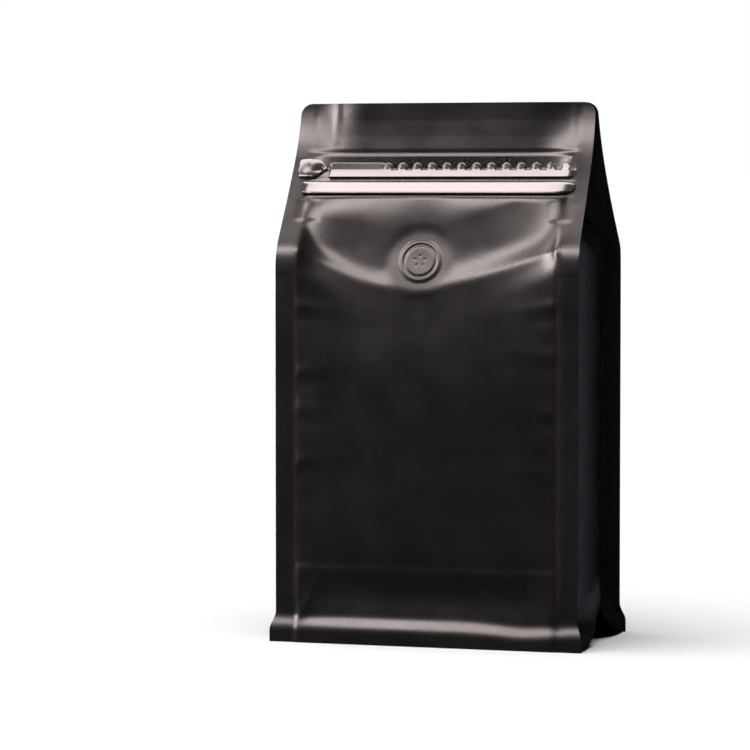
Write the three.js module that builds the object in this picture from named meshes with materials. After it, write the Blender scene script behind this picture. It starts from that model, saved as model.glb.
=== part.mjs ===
// A filled, shut stand-up pouch with a flat bottom and folded side gussets.
// Millimetres. X is the width, Y the depth with the front at -Y, Z is up.
// The origin is the middle of the footprint, on the surface that the pouch stands on.
import * as THREE from 'three';

// ---------------------------------------------------------------- pouch body
const HEIGHT = 234.5;          // standing height, base to the straight top edge
const LIP_WIDTH = 140;         // across the bottom seal lips
const PANEL_WIDTH = 135.6;     // front panel over both side seals, just above the lips
const TOP_WIDTH = 133.6;       // front panel at the top edge
const TOP_CORNER = 5;          // radius of the rounded top corners
const BODY_DEPTH = 76;         // filled body, front seal to back seal
const TOP_DEPTH = 3.6;         // the panels pressed together at the top edge
const SHOULDER_Z = 171.5;      // where the filled body ends at its corners
const TAPER_POWER = 1.55;      // above the shoulder the panels close faster than a straight wedge
const TOP_LEAN = 2.5;          // the closed top stands this far in front of the middle

// --------------------------------------------------------------- seals and lips
const SIDE_SEAL = 7.6;         // width of the flat seal strip down each panel edge
const SEAL_THICK = 0.9;        // thickness of a side seal strip
const LIP_HEIGHT = 5;          // straight part of the bottom seal lip
const LIP_END_Z = 13;          // where the flare above the lip runs out
const LIP_FLARE = 1.6;         // how far the lip stands in front of the panel
const LIP_THICK = 1.6;         // thickness of the bottom seal lip
const LIP_INSIDE = 7;          // height of the lip's inner face under the pouch

// -------------------------------------------------------------------- gussets
const GUSSET_BULGE = 7.5;      // how far the filled gusset swells out between the seals
const FOLD_Z = 173;            // where the gusset starts to fold in, at its middle
const FOLD_RISE = 10;          // the fold line climbs this far towards the panel edges
const FOLD_SLOPE = 1.9;        // inward travel of the fold per millimetre of height
const NOTCH_HEIGHT = 17;       // V notch under each gusset, at mid depth
const NOTCH_FLARE = 1.5;       // how far the sealed notch edge turns out
const NOTCH_BLEND = 16;        // height over which that flare fades
const FOOT_SEAL = 1;           // at the base the gusset reaches this close to the lip's end
const FOOT_BLEND = 24;         // height at which the side seal has its full width
const FOOT_INSET = 0.6;        // at the base the gusset starts this far inside the lip
const BASE_BLEND = 42;         // height at which the rings are level again
const BASE_SAG = 2.5;          // clearance under the middle of the bottom panel

// ---------------------------------------------------------- filled front panel
const PANEL_CROWN = 2;         // swell of the filled front and back panels
const RIDGE_DROP = 17;         // the filled body's top edge dips by this in the middle
const RIDGE_X = -5;            // where that dip is lowest on the front panel
const FLAP_Z = 194;            // foot of the fold-back strip above the valve facet
const FLAP_PROUD = 2.5;        // how far the facet's top stands proud of the panel edges
const FACET_SLOPE = 0.22;      // lean of the flat facet between the two valley folds

// ---------------------------------------------------- reclosable strip and valve
const TRACK_HALF = 61.5;       // half length of the closing ridge
const TRACK_LOW = 195;         // the ridge, lower and upper edge
const TRACK_HIGH = 200.6;
const TRACK_RISE = 1.3;        // crown of the closing ridge
const STRIP_LEFT = -51;        // tear strip, left end next to the pull tab
const STRIP_RIGHT = 61.5;
const STRIP_LOW = 202;
const STRIP_HIGH = 211;
const STRIP_THICK = 0.5;
const TOOTH_PITCH = 6.7;
const TOOTH_COUNT = 13;
const TOOTH_FIRST = -26.5;     // left end of the tooth row
const TOOTH_WIDTH = 4.2;
const TOOTH_LOW = 205.2;
const TOOTH_HIGH = 208.2;
const TOOTH_RISE = 0.7;
const TOOTH_FLANK = 0.6;       // width of a tooth's sloping sides
const TAB_X = -64.8;           // pull tab, square end
const TAB_SHOULDER_X = -57.5;  // where its sides start to close to the tip
const TAB_TIP_X = -52.2;
const TAB_MID_Z = 206.3;
const TAB_HALF = 4.2;
const TAB_CORNER = 1.5;
const TAB_TIP_HALF = 0.5;
const TAB_POINT_POWER = 1.6;   // above 1 the sides bow outwards on their way to the tip
const TAB_THICK = 0.9;
const TAB_EDGE_LOSS = 0.4;     // share of the thickness that is gone at the long edges
const VALVE_X = -4;
const VALVE_Z = 166;
const VALVE_DEPTH = 31.5;      // distance of the valve from the pouch's mid plane
const VALVE_SLOPE = 0.45;      // lean of the flat round the valve
const VALVE_RADIUS = 10.2;
const VALVE_FLAT = 13;         // the panel is flat out to here round the valve
const VALVE_FADE = 19;         // and free again from here
const VALVE_RIM_FOOT = 8.6;    // radius at which the film rises to the valve's rim
const VALVE_RIM_RADIUS = 8;
const VALVE_GROOVE_RADIUS = 7;
const VALVE_DISC_RADIUS = 6;
const VALVE_THICK = 1.1;
const VALVE_EDGE = 0.4;        // thickness at the flange's outer edge
const VALVE_RIM_STEP = 0.75;   // height at the foot of the rim
const VALVE_GROOVE = 0.5;
const VALVE_DISH = 0.25;       // the disc's middle lies this far below its edge
const VALVE_SIDES = 32;
const CLEARANCE = 0.3;         // air between a fitted piece and the panel
const VALVE_CLEARANCE = 0.5;   // more under the valve, where the panel's facets are coarse

// ------------------------------------------------------------------ mesh density
const PANEL_STEPS = 20;        // columns between the side seals
const GUSSET_STEPS = 10;       // columns across a gusset
const TRACK_STEPS = 24;        // columns along the closing ridge
const BEAD_STEPS = 6;          // rows over the ridge's half round
const TAB_CORNER_STEPS = 3;    // columns in the pull tab's rounded end
const TAB_TIP_STEPS = 6;
const TAB_ROWS = 4;
const NORMAL_SPAN = 2;         // reach over which a fitted piece reads the panel's slope
const LEVELS = [
  2.5, LIP_HEIGHT, 8, 10.5, LIP_END_Z, 18, 27, BASE_BLEND, 75, 110, 140, 149, 155, 159, 163, 167,
  SHOULDER_Z, FOLD_Z, 175.5, 178, 180.5, 183, 186, 189, 193, 198, 204, 210, 216, 223,
  HEIGHT - TOP_CORNER, HEIGHT - 3.2, HEIGHT - 1.6, HEIGHT - 0.5, HEIGHT,
];

const FILM_BLACK = 0x1b1a1b;
const TRACK_BLACK = 0x2a292b;
const FILM_METALNESS = 0.35;   // a foil layer under the black
const FILM_ROUGHNESS = 0.38;
const TRACK_ROUGHNESS = 0.22;

// ---------------------------------------------------------------- shape functions
const { clamp, lerp, smoothstep } = THREE.MathUtils;
const bodyHalf = BODY_DEPTH / 2;
const topHalf = TOP_DEPTH / 2;
const panelHalf = TOP_WIDTH / 2 - SIDE_SEAL;
const gussetHalfLength = Math.hypot(bodyHalf, GUSSET_BULGE);

// How far a height lies between the shoulder and the top edge, from 0 to 1.
function rise(z) {
  return clamp((z - SHOULDER_Z) / (HEIGHT - SHOULDER_Z), 0, 1);
}

// Half width of a panel. The lips are widest, and the top corners are quarter circles.
function halfWidth(z) {
  const panel = lerp(PANEL_WIDTH, TOP_WIDTH, rise(z)) / 2;
  const lip = (LIP_WIDTH / 2 - panel) * (1 - smoothstep(z, LIP_HEIGHT, LIP_END_Z));
  const intoCorner = clamp(z - (HEIGHT - TOP_CORNER), 0, TOP_CORNER);
  const corner = TOP_CORNER - Math.sqrt(TOP_CORNER ** 2 - intoCorner ** 2);
  return panel + lip - corner;
}

// Half depth at the panel edges: straight sides, then a wedge that closes at the top.
function edgeHalfDepth(z) {
  const wedge = topHalf + (bodyHalf - topHalf) * (1 - rise(z)) ** TAPER_POWER;
  return wedge + LIP_FLARE * (1 - smoothstep(z, LIP_HEIGHT, LIP_END_Z));
}

// The middle plane between front and back. It leans forward above the shoulder.
function midPlane(z) {
  return -TOP_LEAN * rise(z);
}

// How far the filled body's top edge lies below the shoulder at this x. The stiff side
// seals stay straight, so the dip spans only the panel between them.
function ridgeDrop(x, lowestX) {
  const reach = x < lowestX ? lowestX + panelHalf : panelHalf - lowestX;
  return RIDGE_DROP * clamp(1 - Math.abs(x - lowestX) / reach, 0, 1);
}

// Swell of a filled panel between its side seals and from the lip to the ridge.
function crown(x, z, lowestX) {
  const across = clamp(1 - (x / panelHalf) ** 2, 0, 1);
  const ridge = SHOULDER_Z - ridgeDrop(x, lowestX);
  const up = smoothstep(z, LIP_END_Z, BASE_BLEND) * (1 - smoothstep(z, ridge, ridge + RIDGE_DROP));
  return PANEL_CROWN * across * up;
}

// Half depth of the front. Two side facets slope in from the ridge, and a steeper facet
// under the reclosable strip meets them in two valley folds that run down to the valve.
function frontHalfDepth(x, z) {
  const side = edgeHalfDepth(Math.min(HEIGHT, z + ridgeDrop(x, RIDGE_X)));
  const across = clamp(1 - (x / panelHalf) ** 4, 0, 1);
  const proud = FLAP_PROUD * across * (1 - smoothstep(z, FLAP_Z, HEIGHT));
  const flap = edgeHalfDepth(Math.max(z, FLAP_Z)) + proud;
  const facet = flap + FACET_SLOPE * Math.max(0, FLAP_Z - z);
  const film = z < LIP_END_Z ? edgeHalfDepth(z) : Math.max(side, Math.min(facet, bodyHalf));
  const free = film + crown(x, z, RIDGE_X);
  const fromValve = Math.hypot(x - VALVE_X, z - VALVE_Z);
  const flat = VALVE_DEPTH + VALVE_SLOPE * (VALVE_Z - z);
  return lerp(flat, free, smoothstep(fromValve, VALVE_FLAT, VALVE_FADE));
}

// Half depth of the back, which has the ridge but no strip and no valve.
function backHalfDepth(x, z) {
  const dip = z < LIP_END_Z ? 0 : ridgeDrop(x, 0) * (1 - rise(z));
  return edgeHalfDepth(z + dip) + crown(x, z, 0);
}

// Reach of a gusset along X. across runs from -1 at the front seal to 1 at the back seal.
function gussetReach(across, z) {
  const clearOfFoot = smoothstep(z, 0, FOOT_BLEND);
  const sealWidth = lerp(FOOT_SEAL, SIDE_SEAL, clearOfFoot);
  const seal = halfWidth(Math.min(z, HEIGHT - TOP_CORNER)) - sealWidth;
  const swollen = seal + GUSSET_BULGE * clearOfFoot * (1 - across ** 2);
  const foldDepth = Math.sqrt(Math.max(0, gussetHalfLength ** 2 - edgeHalfDepth(z) ** 2));
  const folded = seal - foldDepth * (1 - Math.abs(across));
  const foldLine = FOLD_Z + FOLD_RISE * Math.abs(across);
  const aboveNotch = z - notch(across);
  const flare = NOTCH_FLARE * (1 - Math.abs(across)) * (1 - smoothstep(aboveNotch, 0, NOTCH_BLEND));
  return Math.max(folded, swollen - FOLD_SLOPE * Math.max(0, z - foldLine)) + flare;
}

// Height of the V notch under a gusset.
function notch(across) {
  return NOTCH_HEIGHT * (1 - Math.abs(across)) ** 2;
}

// ---------------------------------------------------------------- box-like meshes
// Every solid here is a bent box: a grid of rows and columns, stacked in levels. Each level
// is the outline of the grid, and the first and last levels are filled in.
class BentBox {
  constructor(columns, rows) {
    this.columns = columns;
    this.rows = rows;
    this.positions = [];
    this.indices = [];
    this.rim = [];
    for (let c = 0; c < columns; c += 1) this.rim.push([c, 0]);
    for (let r = 0; r < rows; r += 1) this.rim.push([columns, r]);
    for (let c = columns; c > 0; c -= 1) this.rim.push([c, rows]);
    for (let r = rows; r > 0; r -= 1) this.rim.push([0, r]);
    this.rimAt = new Map(this.rim.map(([c, r], place) => [`${c},${r}`, place]));
  }

  addPoint(point) {
    this.positions.push(...point);
    return this.positions.length / 3 - 1;
  }

  addQuad(a, b, c, d) {
    this.indices.push(a, b, c, a, c, d);
  }

  // Fills the grid inside one level's outline. place gives the inner points.
  fill(level, place, facingUp) {
    const inner = new Map();
    const at = (c, r) => {
      const key = `${c},${r}`;
      if (this.rimAt.has(key)) return level[this.rimAt.get(key)];
      if (!inner.has(key)) inner.set(key, this.addPoint(place(c, r)));
      return inner.get(key);
    };
    for (let c = 0; c < this.columns; c += 1) {
      for (let r = 0; r < this.rows; r += 1) {
        const corners = [at(c, r), at(c + 1, r), at(c + 1, r + 1), at(c, r + 1)];
        if (!facingUp) corners.reverse();
        this.addQuad(...corners);
      }
    }
  }

  // outline(column, row, level) gives the rim, inside(column, row, isTop) the two lids.
  build(levelCount, outline, inside) {
    const levels = [];
    for (let l = 0; l < levelCount; l += 1) {
      levels.push(this.rim.map(([c, r]) => this.addPoint(outline(c, r, l))));
    }
    for (let l = 0; l + 1 < levelCount; l += 1) {
      for (let i = 0; i < this.rim.length; i += 1) {
        const next = (i + 1) % this.rim.length;
        this.addQuad(levels[l][i], levels[l][next], levels[l + 1][next], levels[l + 1][i]);
      }
    }
    this.fill(levels[0], (c, r) => inside(c, r, false), false);
    this.fill(levels[levelCount - 1], (c, r) => inside(c, r, true), true);
    const geometry = new THREE.BufferGeometry();
    geometry.setAttribute('position', new THREE.Float32BufferAttribute(this.positions, 3));
    geometry.setIndex(this.indices);
    geometry.computeVertexNormals();
    return geometry;
  }
}

// ------------------------------------------------------------------------- pouch
// Columns run along X: a side seal, the panel, the other side seal.
// Rows run from front to back: the front panel, the inside of the seal strip, the gusset
// from seal to seal, the inside of the back strip, the back panel.
const COLUMNS = PANEL_STEPS + 2;
const ROWS = GUSSET_STEPS + 4;

function columnX(column, z) {
  const width = halfWidth(z);
  if (column === 0) return -width;
  if (column === COLUMNS) return width;
  const sealEdge = halfWidth(Math.min(z, HEIGHT - TOP_CORNER)) - SIDE_SEAL;
  return lerp(-sealEdge, sealEdge, (column - 1) / PANEL_STEPS);
}

// Place across the gusset, from -1 to 1, of a row's side points.
function rowAcross(row) {
  return clamp((row - 2) / GUSSET_STEPS, 0, 1) * 2 - 1;
}

function pouchOutline(column, row, level) {
  const isFrontOrBack = row === 0 || row === ROWS;
  const footZ = isFrontOrBack ? 0 : notch(rowAcross(row));
  const nominal = level === 0 ? 0 : LEVELS[level - 1];
  const z = footZ + nominal * (nominal < BASE_BLEND ? 1 - footZ / BASE_BLEND : 1 - footZ / nominal);
  const mid = midPlane(z);
  if (row === 0) {
    const x = columnX(column, z);
    return [x, mid - frontHalfDepth(x, z), z];
  }
  if (row === ROWS) {
    const x = columnX(column, z);
    return [x, mid + backHalfDepth(x, z), z];
  }
  const side = column === 0 ? -1 : 1;
  const across = rowAcross(row);
  const thick = lerp(LIP_THICK, SEAL_THICK, smoothstep(z, 0, LIP_END_Z));
  const isSealEdge = row === 1 || row === ROWS - 1;
  const inset = isSealEdge ? 0 : FOOT_INSET * (1 - smoothstep(z, 0, FOOT_BLEND));
  const y = mid + across * (edgeHalfDepth(z) - thick - inset);
  return [side * (isSealEdge ? halfWidth(z) : gussetReach(across, z)), y, z];
}

// The bottom panel hangs between the lips and rises to the notches.
function bottomInside(column, row) {
  const left = pouchOutline(0, row, 0);
  const right = pouchOutline(COLUMNS, row, 0);
  const sideways = columnX(column, left[2]) / columnX(COLUMNS, left[2]);
  const point = left.map((value, axis) => lerp(value, right[axis], (sideways + 1) / 2));
  const isLip = row === 1 || row === ROWS - 1;
  if (!isLip) {
    const across = rowAcross(row);
    const middle = lerp(BASE_SAG, LIP_INSIDE, Math.abs(across) ** 3);
    point[2] = lerp(middle, notch(across), sideways ** 4);
  }
  return point;
}

// The top is level. Its rows are spread evenly over the middle, where the gusset folds end,
// and the rows next to a panel keep halfway between that panel and the fold.
function topInside(column, row) {
  const level = LEVELS.length;
  const [left, y, z] = pouchOutline(0, row, level);
  const x = columnX(column, z) * left / columnX(0, z);
  const isSealRow = row === 1 || row === ROWS - 1;
  const panel = pouchOutline(column, row === 1 ? 0 : ROWS, level);
  return [x, isSealRow ? (y + panel[1]) / 2 : y, z];
}

function pouchGeometry() {
  const inside = (column, row, isTop) => (isTop ? topInside : bottomInside)(column, row);
  return new BentBox(COLUMNS, ROWS).build(LEVELS.length + 1, pouchOutline, inside);
}

// ---------------------------------------------------------------- fitted pieces
function frontPoint(x, z) {
  return new THREE.Vector3(x, midPlane(z) - frontHalfDepth(x, z), z);
}

// Outward normal of the front at this place.
function frontNormal(x, z) {
  const alongX = frontPoint(x + NORMAL_SPAN, z).sub(frontPoint(x - NORMAL_SPAN, z));
  const alongZ = frontPoint(x, z + NORMAL_SPAN).sub(frontPoint(x, z - NORMAL_SPAN));
  return alongX.cross(alongZ).normalize();
}

// A plate that lies on the front and follows it. xs are its columns, rowsAt gives the
// heights of the rows at a column's x, and thickness is the plate's own thickness there.
function plateGeometry(xs, rowsAt, thickness) {
  const surface = (column, row, isOuter) => {
    const x = xs[column];
    const z = rowsAt(x)[row];
    const proud = isOuter ? CLEARANCE + thickness(x, z) : CLEARANCE;
    return frontPoint(x, z).addScaledVector(frontNormal(x, z), proud).toArray();
  };
  return new BentBox(xs.length - 1, rowsAt(xs[0]).length - 1).build(
    2,
    (column, row, level) => surface(column, row, level === 1),
    surface,
  );
}

function evenSteps(from, to, count) {
  return Array.from({ length: count + 1 }, (_, i) => lerp(from, to, i / count));
}

// The closing ridge, a long half-round bead.
function trackGeometry() {
  const middle = (TRACK_LOW + TRACK_HIGH) / 2;
  const half = (TRACK_HIGH - TRACK_LOW) / 2;
  const roundness = (z) => Math.sqrt(Math.max(0, 1 - ((z - middle) / half) ** 2));
  const bead = (x, z) => STRIP_THICK + TRACK_RISE * roundness(z);
  const zs = evenSteps(0, Math.PI, BEAD_STEPS).map((angle) => middle - half * Math.cos(angle));
  return plateGeometry(evenSteps(-TRACK_HALF, TRACK_HALF, TRACK_STEPS), () => zs, bead);
}

// The tear strip, with a row of raised teeth over its right two thirds.
function tearStripGeometry() {
  const xs = evenSteps(STRIP_LEFT, TOOTH_FIRST - TOOTH_PITCH, 3);
  const onTooth = new Set();
  for (let i = 0; i < TOOTH_COUNT; i += 1) {
    const left = TOOTH_FIRST + i * TOOTH_PITCH;
    const right = left + TOOTH_WIDTH;
    const crest = [left + TOOTH_FLANK, right - TOOTH_FLANK];
    xs.push(left, ...crest, right);
    crest.forEach((x) => onTooth.add(x));
  }
  xs.push(STRIP_RIGHT);
  const crestLow = TOOTH_LOW + TOOTH_FLANK;
  const crestHigh = TOOTH_HIGH - TOOTH_FLANK;
  const zs = [STRIP_LOW, TOOTH_LOW, crestLow, crestHigh, TOOTH_HIGH, STRIP_HIGH];
  const teeth = (x, z) => {
    const isRaised = onTooth.has(x) && z > TOOTH_LOW && z < TOOTH_HIGH;
    return STRIP_THICK + (isRaised ? TOOTH_RISE : 0);
  };
  return plateGeometry(xs, () => zs, teeth);
}

// Half width of the pull tab: rounded at its square end, and closing to a blunt tip.
function tabHalfWidth(x) {
  const intoCorner = clamp(TAB_X + TAB_CORNER - x, 0, TAB_CORNER);
  const corner = TAB_CORNER - Math.sqrt(TAB_CORNER ** 2 - intoCorner ** 2);
  const closing = clamp((x - TAB_SHOULDER_X) / (TAB_TIP_X - TAB_SHOULDER_X), 0, 1);
  return lerp(TAB_HALF - corner, TAB_TIP_HALF, closing ** TAB_POINT_POWER);
}

// The pull tab, a plate that is thinner towards its long edges.
function tabGeometry() {
  const roundedEnd = evenSteps(0, Math.PI / 2, TAB_CORNER_STEPS)
    .map((angle) => TAB_X + TAB_CORNER * (1 - Math.cos(angle)));
  const xs = [...roundedEnd, ...evenSteps(TAB_SHOULDER_X, TAB_TIP_X, TAB_TIP_STEPS)];
  const rows = evenSteps(-1, 1, TAB_ROWS);
  const rowsAt = (x) => rows.map((part) => TAB_MID_Z + part * tabHalfWidth(x));
  const pillow = (x, z) => {
    const sideways = (z - TAB_MID_Z) / tabHalfWidth(x);
    return TAB_THICK * (1 - TAB_EDGE_LOSS * sideways ** 4);
  };
  return plateGeometry(xs, rowsAt, pillow);
}

// The one-way valve: a round flange with a rim and a dished middle.
function valveGeometry() {
  const profile = [
    [0, 0],
    [VALVE_RADIUS, 0],
    [VALVE_RADIUS, VALVE_EDGE],
    [VALVE_RIM_FOOT, VALVE_RIM_STEP],
    [VALVE_RIM_RADIUS, VALVE_THICK],
    [VALVE_GROOVE_RADIUS, VALVE_THICK - VALVE_GROOVE],
    [VALVE_DISC_RADIUS, VALVE_THICK],
    [0, VALVE_THICK - VALVE_DISH],
  ].map(([radius, height]) => new THREE.Vector2(radius, height));
  return new THREE.LatheGeometry(profile, VALVE_SIDES).rotateX(Math.PI / 2);
}

// Turns a piece drawn in its own XY plane, with +Z outwards, to lie on the valve's flat.
function layAtValve(mesh) {
  const normal = frontNormal(VALVE_X, VALVE_Z);
  const right = new THREE.Vector3(1, 0, 0);
  const up = new THREE.Vector3().crossVectors(normal, right).normalize();
  right.crossVectors(up, normal);
  mesh.quaternion.setFromRotationMatrix(new THREE.Matrix4().makeBasis(right, up, normal));
  mesh.position.copy(frontPoint(VALVE_X, VALVE_Z).addScaledVector(normal, VALVE_CLEARANCE));
  return mesh;
}

// ----------------------------------------------------------------------- assembly
function film(color, roughness) {
  return new THREE.MeshStandardMaterial({ color, roughness, metalness: FILM_METALNESS });
}

function piece(name, geometry, material) {
  const mesh = new THREE.Mesh(geometry, material);
  mesh.name = name;
  return mesh;
}

const pouch = new THREE.Group();
pouch.add(piece('pouch', pouchGeometry(), film(FILM_BLACK, FILM_ROUGHNESS)));
pouch.add(piece('zipper_track', trackGeometry(), film(TRACK_BLACK, TRACK_ROUGHNESS)));
pouch.add(piece('tear_strip', tearStripGeometry(), film(TRACK_BLACK, TRACK_ROUGHNESS)));
pouch.add(piece('pull_tab', tabGeometry(), film(TRACK_BLACK, TRACK_ROUGHNESS)));
pouch.add(layAtValve(piece('valve', valveGeometry(), film(FILM_BLACK, FILM_ROUGHNESS))));

export default pouch;
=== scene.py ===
import math

import bmesh
import bpy
import numpy as np
from bpy.props import FloatProperty, FloatVectorProperty, IntProperty, PointerProperty
from mathutils import Matrix, Vector


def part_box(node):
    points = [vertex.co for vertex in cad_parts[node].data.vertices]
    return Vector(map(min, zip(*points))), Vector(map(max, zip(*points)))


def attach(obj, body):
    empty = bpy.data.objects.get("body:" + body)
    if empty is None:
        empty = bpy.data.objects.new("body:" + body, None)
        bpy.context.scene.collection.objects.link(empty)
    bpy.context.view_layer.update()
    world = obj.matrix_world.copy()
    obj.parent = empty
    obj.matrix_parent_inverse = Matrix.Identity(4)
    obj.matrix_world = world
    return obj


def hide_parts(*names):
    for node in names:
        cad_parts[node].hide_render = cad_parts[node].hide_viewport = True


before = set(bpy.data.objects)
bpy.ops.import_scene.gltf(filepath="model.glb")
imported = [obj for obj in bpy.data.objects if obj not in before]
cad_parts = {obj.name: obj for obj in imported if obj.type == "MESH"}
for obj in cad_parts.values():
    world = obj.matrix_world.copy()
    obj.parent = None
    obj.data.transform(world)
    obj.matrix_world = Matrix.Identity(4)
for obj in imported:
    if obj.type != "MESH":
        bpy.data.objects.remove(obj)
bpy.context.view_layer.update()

bl_info = {
    "name": "Stand-up tea pouch",
    "version": (1, 0, 0),
    "blender": (4, 5, 0),
    "location": "View3D > Sidebar > Tea pouch",
    "description":
        "A filled flat-bottom pouch of black film with a pocket zipper and a one-way valve",
    "category": "Add Mesh",
}

MM = 0.001
POUCH_LOW, POUCH_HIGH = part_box("pouch")
TRACK_LOW, TRACK_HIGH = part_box("zipper_track")
STRIP_LOW, STRIP_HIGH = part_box("tear_strip")
TAB_LOW, TAB_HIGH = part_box("pull_tab")


def in_mm(*rows):
    """Rows of sizes in millimetres, turned into metres."""
    return tuple(tuple(value * MM for value in row) for row in rows)


# ---- fixed sizes
TOP_CORNER = 5 * MM  # radius
TAPER_POWER = 1.55  # the panels close faster than a straight wedge
TOP_LEAN = 2.5 * MM  # how far the top stands in front of the middle
SHOULDER_ROUND = 0.035  # as a share of the taper
SEAL_THICK = 0.55 * MM  # two films fused together
LIP_THICK = 1.3 * MM
LIP_HEIGHT = 5 * MM  # the lip stands out in full up to here
LIP_END_Z = 13 * MM  # and ends here
LIP_FLARE = 2.2 * MM  # in front of the panel
LIP_INSIDE = 6 * MM  # height of its inner face
LIP_INSIDE_POWER = 8  # it runs out at the corners
FOLD_Z = 173 * MM  # the gusset's middle starts to fold in here
FOLD_RISE = 10 * MM  # climb of the fold line towards the panels
FOLD_SLOPE = 1.9  # inward travel for each step of height
FOLD_ROUND = 0.8 * MM  # softness of the fold's inner line
FOLD_CREST = 3 * MM  # and of its outer edge
FOLD_SHARP = 0.1  # both sharpen beside the seals, in this share,
FOLD_LEAST = 1e-6  # to this softness in metres
GUSSET_ROUND = 0.08  # roundness of the swollen gusset's middle
GUSSET_POWER = 1.5  # and section
NOTCH_FLARE = 1.5 * MM  # the film stands out this far over the notch
NOTCH_BLEND = 16 * MM  # and falls back over this height
NOTCH_FIN = 4.5 * MM  # height of the sealed band along the notch
NOTCH_FIN_THICK = 0.8 * MM
FOOT_SEAL = 1 * MM  # width of the side seals at the floor
FOOT_BLEND = 24 * MM  # they have their full width from here
FOOT_INSET = 0.6 * MM  # of the gusset from the panels, at the floor
BASE_BLEND = 42 * MM  # the panel is clear of the base from here
BASE_SAG = 2.5 * MM  # height of the bottom's middle
BASE_POWERS = (3, 4)  # powers of its rise to the lips and to the notches
BASE_EDGE = 0.2  # share of the half depth where the lips end
MOUTH_DEPTH = 5 * MM  # the slit between the panels at the top
MOUTH_EDGE = 0.35  # deepens over this share of the half depth
MOUTH_POWER = 6  # and runs out at the corners

# The ridge is the top edge of the filled body. It hangs down between the shoulders.
RIDGE_X = -5 * MM  # its lowest point
RIDGE_ROUND = 9 * MM  # the lowest stretch is rounded over this
RIDGE_SAG = (1.0, 0.35)  # 1 hangs and 0 runs straight, left and right
RIDGE_SOFT = 1.1 * MM  # softness of the film's bend over it
RIDGE_RECESS = (4 * MM, 3 * MM)  # how far the panel stands back there, less by the valve
RIDGE_RECESS_SPREAD = 22 * MM
RECESS_HEIGHT = 64 * MM  # the panel leans back to it over this height
RECESS_SPREADS = 12 * MM  # and over this last stretch the recess widens to the seals,
RECESS_POWER = 4  # from the width of this power
SIDE_POWER = 12  # how close to the seals the panel's middle reaches
ON_SEAL = (-2 * MM, 1 * MM)  # off the seal line, the panel turns into the strip
# Slopes of the film over the ridge, at the panel's edges and in its middle. They are only
# relative, as the film always ends at the flap's foot.
LEDGE_SLOPE = (0.06, 0.24)  # added just above the ridge
DRAPE_SLOPE = (0.56, 0.26)
HEAD_SLOPE = (0.0, 0.25)  # added up to the strip
LEDGE_REACH = (5.5 * MM, 7.5 * MM)  # the ledge ends this far up, left and right,
LEDGE_SOFT = (1.4 * MM, 2 * MM)  # and fades over this
LEFT_TO_RIGHT = 20 * MM  # left turns into right within this of the middle
VALVE_LEDGE = (22 * MM, 2 * MM)  # the stiff valve stretches the ledge
VALVE_LEDGE_SLOPE = 0.20
VALVE_PULL = 10 * MM
HEAD_FOOT_Z = 177 * MM  # the lean up to the strip starts here,
HEAD_FOOT_RISE = (0.16, 0.34)  # rising so to the left and the right,
HEAD_LEAST = 3 * MM  # at least this far under the flap's foot
PANEL_CROWN = 1.4 * MM  # bulge of the filled panels
FLAP_Z = 194 * MM  # foot of the flap that carries the strip
FLAP_EDGE = 21.2 * MM  # and its half depth at the panel's edges
# Half depths of the front from the shoulder or the flap's foot to the top, by height.
EDGE_PROFILE = in_mm(
    (160, 38), (164, 37.95), (168, 37.4), (171, 36.5), (174, 34.9), (194, 21.2),
    (208.5, 12), (213.5, 9.2), (220, 6.2), (227, 3.7), (234.5, 1.8))
MIDDLE_PROFILE = in_mm(
    (194, 23.8), (205.2, 11.2), (212.3, 9.8), (220, 8.1), (227, 6.8), (234.5, 5.9))
EDGE_BLUR = 3 * MM  # the bends are rounded over this height
MIDDLE_BLUR = 0.4 * MM
# The header bows forward between these and lies back outside them.
HEADER_BOW = in_mm((-60, -36), (38, 62))
HEADER_FOOT_Z = 213.3 * MM
HEADER_BLEND = 2 * MM  # the flap turns into the header over this height
BOW_FOOT_Z = 214 * MM  # the back follows the bow from here up
VALVE_X = -4 * MM
VALVE_Z = 166 * MM
VALVE_DEPTH = 31.42 * MM  # the valve keeps the film flat, at this half depth,
VALVE_SLOPE = 0.295  # leaning back by this,
VALVE_FLAT = 11 * MM  # within this radius,
VALVE_FADE = 17 * MM  # and lets it go at this one

# Puckers run from the side seals a short way into the panel.
LEFT_PUCKERS, RIGHT_PUCKERS = in_mm((146.8, 117.7, 102.5, 79), (147.8, 125.7, 102.8, 75.4))
PUCKER_LENGTH = 10 * MM
PUCKER_WIDTH = 2.6 * MM
PUCKER_LEAN = 0.12  # down and up by turns
PUCKER_TROUGH = (2.2, 0.6)  # widths under the crest, and share of its height
RELIEF_EDGE = (-1 * MM, 3 * MM)  # puckers and grooves set in over this
BOTTOM_LINE_Z = 33.5 * MM  # where the bottom was folded flat
BOTTOM_LINE_WIDTH = 1.8 * MM
BOTTOM_LINE_STEP = 0.55 * MM
BOTTOM_LINE_EDGE = 2 * MM
FOOT_WAIST = (22 * MM, 9 * MM, 1.5 * MM)  # height, spread and depth, over the lip
WAIST_START = 8 * MM  # the waist sets in below this height
WAIST_POWER = 6
LIP_SAG = (44 * MM, 15 * MM, 1.4 * MM)  # where and how far the lip's bend hangs down
# Short creases in the bottom corners: both ends, rise and width.
CORNER_CREASES = in_mm((46, 30, 60, 9, 0.5, 1.5), (-48, 29, -58, 8, 0.4, 1.8))
CREASE_FADE = 0.3  # share of a crease that fades out at each end
SEAL_LINE_WIDTH = 0.9 * MM
SEAL_LINE_DEPTH = 0.22 * MM
SEAL_LINE_ENDS = (228 * MM, 233 * MM)
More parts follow.
